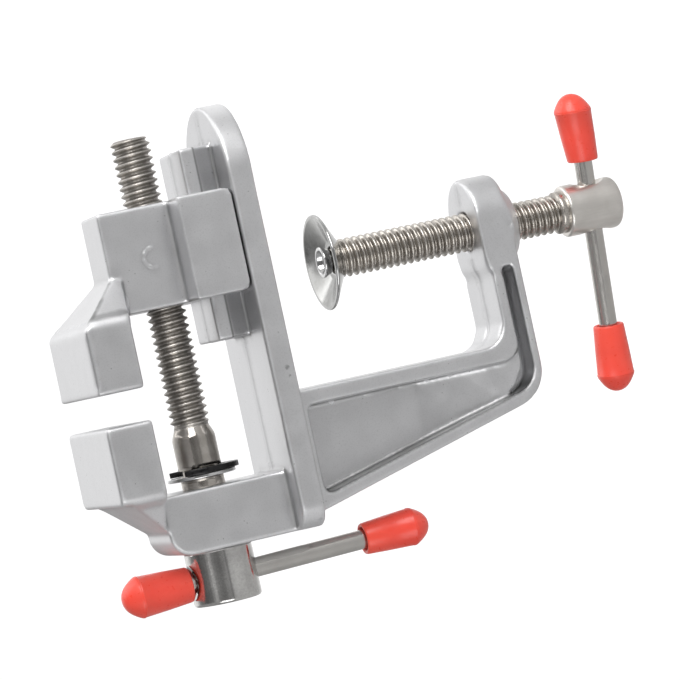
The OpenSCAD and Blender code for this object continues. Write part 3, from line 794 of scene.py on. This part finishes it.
def fade(x, low, high):
    t = np.clip((x - low) / (high - low), 0, 1)
    return t * t * (3 - 2 * t)


def heightsOf(stops, step):
    # stations along an axis, with a fixed step inside each stretch
    result = []
    for (a, b), s in zip(zip(stops, stops[1:]), step):
        count = max(1, round((b - a) / s))
        result += list(np.linspace(a, b, count, endpoint=False))
    return result + [stops[-1]]


jawScrewForm = {
    "start": -52.5, "shankEnd": -29.45, "threadStart": -26.45, "tip": 32.05, "shank": 4.4,
    "groove": 3.7, "grooveAt": -36.45, "grooveLength": 1.14, "coneEnd": 3.45, "tipRadius": 3.35,
    "phase": 0.0, "roundness": 0.25,
}


def buildJawScrew():
    form = jawScrewForm
    step = thread["pitch"] / thread["steps"]

    def radiusAt(z, t):
        helix = threadRadius(z, t, form["phase"], form["roundness"])
        root = thread["radius"] - thread["depth"]
        start = fade(z, form["threadStart"] - 0.6, form["threadStart"] + 0.8)
        helix = root + 0.25 * (1 - start) + (helix - root) * start
        helix = np.minimum(helix, form["tipRadius"] + (form["tip"] - z))
        narrow = fade(z, form["shankEnd"], form["threadStart"] + 0.2)
        cone = form["shank"] + (form["coneEnd"] - form["shank"]) * narrow
        r = np.where(z < form["threadStart"] - 0.2, cone, helix)
        inGroove = (z > form["grooveAt"]) & (z < form["grooveAt"] + form["grooveLength"])
        return np.where(inGroove, form["groove"], r)

    g = form["grooveAt"]
    h = g + form["grooveLength"]
    stops = [form["start"], g - hair, g + hair, h - hair, h + hair]
    stops += [form["shankEnd"], form["threadStart"] - 0.7, form["tip"]]
    heights = heightsOf(stops, [2.0, 2 * hair, 0.5, 2 * hair, 1.0, 0.3, step])
    mesh = turned("jawScrew", heights, thread["around"], radiusAt, along((1, 0, 0), (0, 0, jawAxis)))
    addPiece("jawScrew", mesh, dullScrewSteel, "jaw_screw", "jaw_screw")
    mesh.materials.append(shankSteel)
    for face in mesh.polygons:
        face.material_index = int(face.center.x < (form["shankEnd"] + 2.2) * mm)


clampScrewForm = {
    "top": -18.2, "topRadius": 3.3, "neckTop": -16.75, "neck": 2.3,
    "collar": -66.9, "collarRadius": 4.4, "bottom": -69.3, "phase": 0.35, "roundness": 0.85,
}


def buildClampScrew():
    form = clampScrewForm
    step = thread["pitch"] / thread["steps"]

    def radiusAt(z, t):
        helix = threadRadius(z, t, form["phase"], form["roundness"])
        root = thread["radius"] - thread["depth"]
        start = fade(z, form["collar"] - 0.1, form["collar"] + 0.9)
        helix = root + (helix - root) * start
        helix = np.minimum(helix, form["topRadius"] + np.maximum(form["top"] - z, 0))
        r = np.where(z < form["collar"], form["collarRadius"], helix)
        return np.where(z > form["top"], form["neck"], r)

    c, t = form["collar"], form["top"]
    stops = [form["bottom"], c - hair, c + hair, t - hair, t + hair, form["neckTop"]]
    heights = heightsOf(stops, [0.6, 2 * hair, step, 2 * hair, 0.3])
    mesh = turned("clampScrew", heights, thread["around"], radiusAt, along((0, 0, 1)))
    addPiece("clampScrew", mesh, screwSteel, "clamp_screw", "clamp_screw")


buildJawScrew()
buildClampScrew()
report("screws made")


# Hubs, bars and caps

barLean = math.radians(1.3)
barTurn = math.radians(9)
clampBarAxis = Vector((math.cos(barTurn), -math.sin(barTurn), 0))
hubForm = {
    "jawScrewHub": {
        "radius": 6.95, "length": 10.9, "start": (-51.85, 0, jawAxis), "axis": (-1, 0, 0), "mouthEdge": 0.2,
        "farEdge": 0.7, "bar": 5.7, "barRadius": 2.35, "barAxis": (0, 0, 1),
    },
    "clampScrewHub": {
        "radius": 5.4, "length": 12.1, "start": (0, 0, -68.4), "axis": (0, 0, -1), "mouthEdge": 0.5,
        "farEdge": 1.3, "bar": 6.4, "barRadius": 2.25, "barAxis": clampBarAxis,
    },
}
hubSkin = {
    "voxel": 0.15, "passes": 3, "keep": 0.4,
    "sink": 1.4, "sinkDepth": 1.0,   # countersink of the bar's hole
}


def buildHub(name, node, body, material):
    # a turned blank, with a countersunk hole across it for the bar
    form = hubForm[name]
    r, length = form["radius"], form["length"]
    corners = [(0, 0, 0), (r, 0, form["mouthEdge"]), (r, length, form["farEdge"]), (0, length, 0)]
    place = along(form["axis"], form["start"])
    blank = linked(name + "Blank", revolved(name, rounded(corners, 5), 72, place))
    centre = Vector(form["start"]) + Vector(form["axis"]) * form["bar"]
    hole, depth, past = form["barRadius"], hubSkin["sinkDepth"], 2
    wide = hole + hubSkin["sink"]
    drill = [(0, -r - past), (wide, -r - past), (wide, -r - 0.1), (hole, -r + depth)]
    drill += [(hole, r - depth), (wide, r + 0.1), (wide, r + past), (0, r + past)]
    cutter = linked(name + "Drill", revolved(name + "Drill", drill, 48, along(form["barAxis"], centre)))
    cut = blank.modifiers.new("hole", "BOOLEAN")
    cut.object = cutter
    cut.operation = "DIFFERENCE"
    mesh = finished(blank)
    bpy.data.objects.remove(cutter)
    mesh = evenSkin(name + "Skin", mesh, hubSkin["voxel"])
    soften(mesh, hubSkin["passes"])
    addPiece(name, thinned(name + "Thin", mesh, hubSkin["keep"]), material, body, node)


buildHub("jawScrewHub", "jaw_screw_hub", "jaw_screw", hubSteel)
buildHub("clampScrewHub", "clamp_screw_hub", "clamp_screw", satinHubSteel)

for node, material in (("jaw_bar", rodSteel), ("clamp_bar", crossRodSteel)):
    nodes[node].data.materials.clear()
    nodes[node].data.materials.append(material)

capForm = {
    "length": 14.3, "dome": 3.6, "mouth": 3.25, "ridge": 3.95, "grip": 11.0,
    "askew": math.radians(3.3),
    # outlines counted from a radius and a height: the flare of the bore, the rolled mouth and the ridge
    "flare": [(0, 2.4), (0.15, 1.9), (0.5, 0.7)],
    "roll": [(-0.75, 0.1), (-0.45, 0.0), (-0.12, 0.08), (0, 0.4)],
    "crest": [(-0.09, -0.32), (0, -0.22), (0, -0.08), (-0.12, 0)],
    "domeSteps": (0.03, 0.08, 0.16, 0.28, 0.4, 0.52, 0.64, 0.75, 0.84, 0.91, 0.96, 0.99),
}
jawBar = {
    "centre": (-57.55, 0, jawAxis), "axis": Vector((-math.sin(barLean), 0, math.cos(barLean))),
    "radius": 2.0, "up": 7.25, "down": 30.35,
}
clampBar = {"centre": (0, 0, -74.8), "axis": clampBarAxis, "radius": 1.9, "up": 9.7, "down": 25.3}


def buildCap(name, node, body, bar, direction, stretch=0.0, lean=0.0):
    # a dipped sleeve with a rolled mouth, a ridge and a domed end
    form = capForm
    mouth, ridge = form["mouth"] + stretch, form["ridge"] + stretch
    bore = bar["radius"] + 0.02
    ridgeAt = form["length"] - form["dome"]
    outline = [(0, form["grip"]), (bore, form["grip"])]
    outline += [(bore + r, z) for r, z in form["flare"]]
    outline += [(mouth + r, z) for r, z in form["roll"]]
    outline += [((mouth + ridge) / 2, ridgeAt / 2)]
    outline += [(ridge + r, ridgeAt + z) for r, z in form["crest"]]
    for u in form["domeSteps"]:
        r = ridge * (1 - u ** 1.45) ** 0.5 * (1 - 0.05 * math.sin(u * math.pi))
        outline.append((r, ridgeAt + form["dome"] * u))
    outline += [(0, form["length"])]
    away = bar["up"] if direction > 0 else bar["down"]
    axis = bar["axis"] * direction
    start = Vector(bar["centre"]) + axis * away
    place = along(axis, start)
    mesh = revolved(name, outline, 56, None)
    if lean:
        points = readPoints(mesh)
        skin = np.ones(len(points), bool)
        skin[np.hypot(points[:, 0], points[:, 1]) < bore + 0.1] = False
        skin[points[:, 2] > form["grip"] + 0.05] = True
        toUp = place.inverted().to_3x3() @ Vector((0, 0, 1))
        shift = np.tan(lean) * np.clip(points[:, 2], 0, None)[:, None] * np.array([toUp.x, toUp.y, 0])
        writePoints(mesh, points + shift * skin[:, None])
    mesh.transform(place)
    addPiece(name, mesh, vinyl, body, node)


buildCap("jawBarUpperCap", "jaw_bar_upper_cap", "jaw_bar", jawBar, 1, stretch=0.35)
buildCap("jawBarLowerCap", "jaw_bar_lower_cap", "jaw_bar", jawBar, -1)
buildCap("clampBarFrontCap", "clamp_bar_front_cap", "clamp_bar", clampBar, 1, lean=capForm["askew"])
buildCap("clampBarRearCap", "clamp_bar_rear_cap", "clamp_bar", clampBar, -1)
report("hubs, bars and caps made")


# Washer, clip, pad and rivet

washerForm = {"at": -37.35, "thickness": 0.9, "radius": 7.0, "bore": 4.5}


def buildWasher():
    form = washerForm
    r, t, b = form["radius"], form["thickness"], form["bore"]
    corners = [(b, t * 0.5, 0), (b, 0.05, 0.15), (r, 0.05, 0.2), (r, t - 0.05, 0.2), (b, t - 0.05, 0.15)]
    outline = rounded(corners + corners[:1], 3)[:-1]
    mesh = revolved("washer", outline, 72, along((1, 0, 0), (form["at"], 0, jawAxis)))
    addPiece("jawScrewWasher", mesh, washerSteel, "jaw_screw", "jaw_screw_washer")


clipForm = {
    "at": -36.43, "thickness": 1.1, "outer": 7.8, "inner": 3.72, "relief": 5.3, "edge": 0.12,
    "open": 50.0,         # half of the angle left open, in degrees
    "arc": 41,            # points along the outer arc
}


def buildClip():
    # a flat ring with one open side, lugs that reach into the groove and a broad back
    form = clipForm
    start, end = form["open"], 360 - form["open"]
    arc = form["arc"]
    outer = np.radians(np.linspace(start, end, arc))
    outline = [(form["outer"] * math.cos(a), form["outer"] * math.sin(a)) for a in outer]
    for degrees in np.linspace(end, start, 2 * arc - 1):
        lug = min(abs(degrees - c) for c in (start + 9, 180, end - 9))
        r = form["inner"] + (form["relief"] - form["inner"]) * fade(lug, 11, 17)
        outline.append((r * math.cos(math.radians(degrees)), r * math.sin(math.radians(degrees))))
    count = len(outline)
    points = [(x, y, 0) for x, y in outline] + [(x, y, form["thickness"]) for x, y in outline]
    faces = [[k, (k + 1) % count, count + (k + 1) % count, count + k] for k in range(count)]
    for k in range(arc - 1):
        # one step of the outer arc faces two steps of the inner one
        inner = count - 1 - 2 * k
        low = [k + 1, k, inner, inner - 1, inner - 2]
        faces.append(low)
        faces.append([count + n for n in reversed(low)])
    # the open side faces +Z, away from the plate
    place = along((1, 0, 0), (form["at"], 0, jawAxis), math.pi)
    mesh = meshFrom("clip", points, faces, place)
    piece = addPiece("jawScrewClip", mesh, blackSpring, "jaw_screw", "jaw_screw_clip")
    bevel = piece.modifiers.new("edge", "BEVEL")
    bevel.width = form["edge"] * mm
    bevel.segments = 2
    bevel.limit_method = "ANGLE"


padForm = {"rim": -14.2, "height": 3.9, "radius": 9.95, "flat": 0.8, "back": 4.2, "floor": 1.3, "hole": 2.8}


def buildPad():
    form = padForm
    low, r, back, hole = -form["height"], form["radius"], form["back"], form["hole"]
    floor = low + form["floor"]
    middle = [(hole, low + form["floor"] / 2, 0)]
    outside = [(hole, low, 0.25), (back, low, 0.5), (r, -0.5, 0.3)]
    inside = [(r, 0, 0.3), (r - form["flat"], 0, 0.4), (back - 0.4, floor, 1.2), (hole, floor, 0.25)]
    outline = rounded(middle + outside + inside + middle, 5)[:-1]
    mesh = revolved("pad", outline, 96, along((0, 0, 1), (0, 0, form["rim"])))
    addPiece("clampPad", mesh, padSteel, "pad", "clamp_pad")


rivetForm = {
    "top": -14.3, "neckTop": -16.7, "head": 3.2, "neck": 2.3, "wall": 0.7,
    "stem": 1.5, "depth": 5.9,
}


def buildRivet():
    form = rivetForm
    top = form["top"] - form["neckTop"]
    head, stem, low = form["head"], form["stem"], -form["depth"]
    corners = [(0, low, 0), (stem, low, 0.2), (stem, 0.02, 0), (form["neck"], 0.02, 0.1)]
    corners += [(head, top - 0.45, 0.3), (head, top, 0.25), (head - form["wall"], top, 0.25)]
    # the hollow of the head and its raised middle
    corners += [(2.05, 1.25, 0.2), (1.7, 0.76, 0.1), (0.7, 0.76, 0.1), (0.5, 1.1, 0.1), (0, 1.1, 0)]
    mesh = revolved("rivet", rounded(corners, 4), 64, along((0, 0, 1), (0, 0, form["neckTop"])))
    addPiece("padRivet", mesh, washerSteel, "clamp_screw", "pad_rivet")


buildWasher()
buildClip()
buildPad()
buildRivet()
report("small parts made")


# Camera, light and floor

view = {
    "target": (-16.25, 0.0, -14.9), "distance": 714.0, "elevation": 17.8, "roll": 102.25,
    "lens": 36 * 3500 / 680,   # 3500 pixels, with 680 pixels on a 36 mm sensor
}


def aimCamera():
    rise, roll = math.radians(view["elevation"]), math.radians(view["roll"])
    right = Vector((1, 0, 0))
    up = Vector((0, math.sin(rise), math.cos(rise)))
    ahead = Vector((0, math.cos(rise), -math.sin(rise)))
    x = right * math.cos(roll) - up * math.sin(roll)
    y = right * math.sin(roll) + up * math.cos(roll)
    place = Matrix((x, y, -ahead)).transposed().to_4x4()
    place.translation = (Vector(view["target"]) - ahead * view["distance"]) * mm
    data = bpy.data.cameras.new("camera")
    data.lens = view["lens"]
    data.sensor_width = 36
    data.clip_start = 0.01
    data.clip_end = 50
    camera = linked("camera", data)
    camera.matrix_world = place
    scene.camera = camera


light = {
    "floorDrop": -110.0,      # level of the floor, in millimetres
    "floorNear": 0.57,        # how pale the floor is painted, as seen in the metal, beside the object
    "floorFar": 0.47,         # and in front, away from it
    "floorFrom": (-0.08, -0.45),   # between these distances along Y, in metres
    # from the front horizon, over the top, to the back horizon: share of the way and tone
    "sky": [(0.0, 0.30), (0.12, 0.16), (0.22, 0.22), (0.29, 0.5), (0.36, 0.2), (0.5, 0.1), (0.66, 0.22),
            (0.8, 0.6), (0.88, 1.05), (1.0, 1.1)],
    "farEnd": 0.75,           # beyond the plate's rounded end
    "farFrom": (0.35, 0.8),   # between these shares of the direction along X
    "nearEnd": 0.32,          # beyond the fixed jaw
    "nearFrom": (-0.14, -0.42),
    "lamps": [((520, 420, 760), 900, 3.6), ((680, -560, 300), 600, 6.0), ((-620, -640, 260), 600, 2.6)],
    "floorSeen": 0.4,         # colour and glow of the floor where it has to look white
    "floorGlow": 0.8,
}


def whiteShare(tree, behind):
    # 1 for the camera's own rays, and for reflections that end behind the object
    ray = put(tree, "LightPath").outputs
    mirrored = maths(tree, "ADD", ray["Is Glossy Ray"], ray["Is Transmission Ray"], True)
    return maths(tree, "ADD", ray["Is Camera Ray"], product(tree, mirrored, behind), True)


def makeSurroundings():
    world = bpy.data.worlds.new("studio")
    scene.world = world
    world.use_nodes = True
    tree = world.node_tree
    tree.nodes.clear()
    direction = put(tree, "TexCoord").outputs["Generated"]
    parts = put(tree, "SeparateXYZ", {0: direction}).outputs
    turn = maths(tree, "ARCTAN2", parts["Z"], maths(tree, "MULTIPLY", parts["Y"], -1.0))
    turn = maths(tree, "DIVIDE", turn, math.pi)
    rampNode = put(tree, "ValToRGB", {"Fac": turn})
    ramp = rampNode.color_ramp
    for index, (position, tone) in enumerate(light["sky"]):
        if index < 2:
            stop = ramp.elements[index]
            stop.position = position
        else:
            stop = ramp.elements.new(position)
        stop.color = grey(tone)
    shade = rampNode.outputs["Color"]
    for tone, limits in (("farEnd", "farFrom"), ("nearEnd", "nearFrom")):
        shade = blendColours(tree, spread(tree, parts["X"], *light[limits]), shade, grey(light[tone]))
    # white behind the object, for the camera and in the metal
    behind = product(tree, spread(tree, parts["Y"], 0.6, 0.9), spread(tree, parts["X"], -0.4, -0.1))
    shade = blendColours(tree, whiteShare(tree, behind), shade, grey(1))
    background = put(tree, "Background", {"Color": shade, "Strength": 1.0})
    tree.links.new(background.outputs[0], put(tree, "OutputWorld").inputs["Surface"])


def makeFloor():
    half = 6000
    corners = [(-half, -half, 0), (half, -half, 0), (half, half, 0), (-half, half, 0)]
    mesh = meshFrom("floor", corners, [(0, 1, 2, 3)])
    floor = linked("floor", mesh)
    floor.location.z = light["floorDrop"] * mm
    material, tree, shader = newMaterial("paleFloor")
    parts = put(tree, "SeparateXYZ", {0: put(tree, "TexCoord").outputs["Object"]}).outputs
    behind = product(tree, spread(tree, parts["Y"], 0.03, 0.2), spread(tree, parts["X"], -0.2, -0.04))
    seen = whiteShare(tree, behind)
    # painted light falloff: the floor is painted paler beside the object than in front of it
    away = spread(tree, parts["Y"], *light["floorFrom"])
    tone = blendColours(tree, away, grey(light["floorNear"]), grey(light["floorFar"]))
    shade = blendColours(tree, seen, tone, grey(light["floorSeen"]))
    tree.links.new(shade, shader.inputs["Base Color"])
    shader.inputs["Roughness"].default_value = 0.9
    shader.inputs["Specular IOR Level"].default_value = 0.1
    shader.inputs["Emission Color"].default_value = grey(1)
    tree.links.new(product(tree, seen, light["floorGlow"]), shader.inputs["Emission Strength"])
    mesh.materials.append(material)


def addLamp(name, place, size, watts):
    data = bpy.data.lights.new(name, "AREA")
    data.shape = "SQUARE"
    data.size = size * mm
    data.energy = watts
    lamp = linked(name, data)
    lamp.location = Vector(place) * mm
    lamp.rotation_euler = (-lamp.location).to_track_quat("-Z", "Y").to_euler()
    lamp.visible_camera = False


aimCamera()
makeSurroundings()
makeFloor()
for index, (place, size, watts) in enumerate(light["lamps"]):
    addLamp("softbox" + str(index + 1), place, size, watts)
scene.view_settings.view_transform = "Standard"
report("camera, light and floor made")
